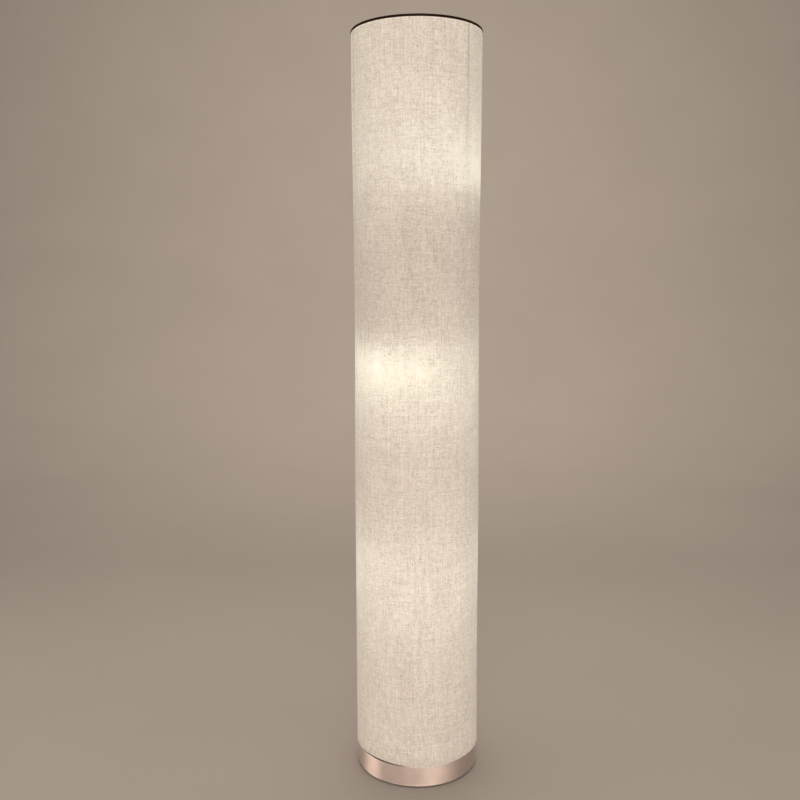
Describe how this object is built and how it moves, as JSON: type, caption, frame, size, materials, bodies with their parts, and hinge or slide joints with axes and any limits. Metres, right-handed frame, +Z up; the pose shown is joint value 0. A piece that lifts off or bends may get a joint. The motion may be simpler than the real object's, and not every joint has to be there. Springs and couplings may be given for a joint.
{
  "type": "column floor lamp",
  "caption": "Tall column floor lamp: a cloth cylinder over a low round metal base, lit from inside by bulbs on a central pole.",
  "frame": {"origin": "centre of the foot pad's underside, on the floor", "axes": "+Z up along the pole, -Y the lamp's front, +X to the right seen from the front; the cord entry faces +Y"},
  "size_m": [0.176, 0.182, 1.025],
  "materials": {
    "linen": "natural linen weave on a stiff backing",
    "rose_nickel": "satin, warm rose tone",
    "black_ring": "satin black paint",
    "cast_iron": "rough cast",
    "zinc_steel": "zinc plated",
    "white_paint": "white powder coat",
    "black_foam": "matt foam",
    "black_plastic": "moulded, matt",
    "white_plastic": "moulded, matt",
    "porcelain": "glazed",
    "brass": "satin",
    "nickel_cap": "bright nickel",
    "bulb_white": "moulded, gloss",
    "led_plate": "matt",
    "opal_dome": "opal diffuser",
    "lead_sheath": "smooth sheath"
  },
  "bodies": {
    "stand": {"base_cover": "rose_nickel", "base_weight": "cast_iron", "bottom_plate": "zinc_steel", "plate_screws": "zinc_steel", "foot_pad": "black_foam", "base_nipple": "zinc_steel", "base_washer": "zinc_steel", "base_nut": "zinc_steel", "base_collar": "rose_nickel", "cord_gland": "black_plastic", "gland_nut": "black_plastic", "terminal_block": "white_plastic", "terminal_inserts": "brass", "pole_lower": "white_paint", "pole_middle": "white_paint", "pole_upper": "white_paint", "pole_joiners": "zinc_steel", "lower_bracket": "zinc_steel", "upper_bracket": "zinc_steel", "holder_nipples": "zinc_steel", "holder_nuts": "zinc_steel", "centre_contacts": "brass", "lower_holder_cap": "black_plastic", "lower_holder_shell": "black_plastic", "lower_holder_insert": "porcelain", "lower_thread_sleeve": "brass", "middle_holder_cap": "black_plastic", "middle_holder_shell": "black_plastic", "middle_holder_insert": "porcelain", "middle_thread_sleeve": "brass", "upper_holder_cap": "black_plastic", "upper_holder_shell": "black_plastic", "upper_holder_insert": "porcelain", "upper_thread_sleeve": "brass", "lower_lead": "lead_sheath", "middle_lead": "lead_sheath", "upper_lead": "lead_sheath", "shade_stud": "zinc_steel"},
    "shade": {"shade_cloth": "linen", "top_ring": "black_ring", "bottom_ring": "black_ring", "shade_struts": "black_ring", "spider": "black_ring", "hub_washer": "zinc_steel"},
    "finial": {"finial": "brass"},
    "lower_bulb": {"lower_bulb_cap": "nickel_cap", "lower_bulb_housing": "bulb_white", "lower_bulb_led_plate": "led_plate", "lower_bulb_dome": "opal_dome"},
    "middle_bulb": {"middle_bulb_cap": "nickel_cap", "middle_bulb_housing": "bulb_white", "middle_bulb_led_plate": "led_plate", "middle_bulb_dome": "opal_dome"},
    "upper_bulb": {"upper_bulb_cap": "nickel_cap", "upper_bulb_housing": "bulb_white", "upper_bulb_led_plate": "led_plate", "upper_bulb_dome": "opal_dome"}
  },
  "joints": [
    {"name": "shade_lift", "type": "slide", "parent": "stand", "child": "shade", "axis": [0, 0, 1], "range_m": [0, 1]},
    {"name": "finial_turn", "type": "hinge", "parent": "shade", "child": "finial", "pos_m": [0, 0, 1.015], "axis": [0, 0, 1], "range_deg": [0, 1080]},
    {"name": "lower_bulb_turn", "type": "hinge", "parent": "stand", "child": "lower_bulb", "pos_m": [-0.01641, 0.03866, 0.36], "axis": [0, 0, -1], "range_deg": [0, 1080]},
    {"name": "middle_bulb_turn", "type": "hinge", "parent": "stand", "child": "middle_bulb", "pos_m": [-0.02528, -0.03354, 0.63], "axis": [0, 0, -1], "range_deg": [0, 1080]},
    {"name": "upper_bulb_turn", "type": "hinge", "parent": "stand", "child": "upper_bulb", "pos_m": [0.04169, -0.00512, 0.79], "axis": [0, 0, 1], "range_deg": [0, 1080]}
  ]
}
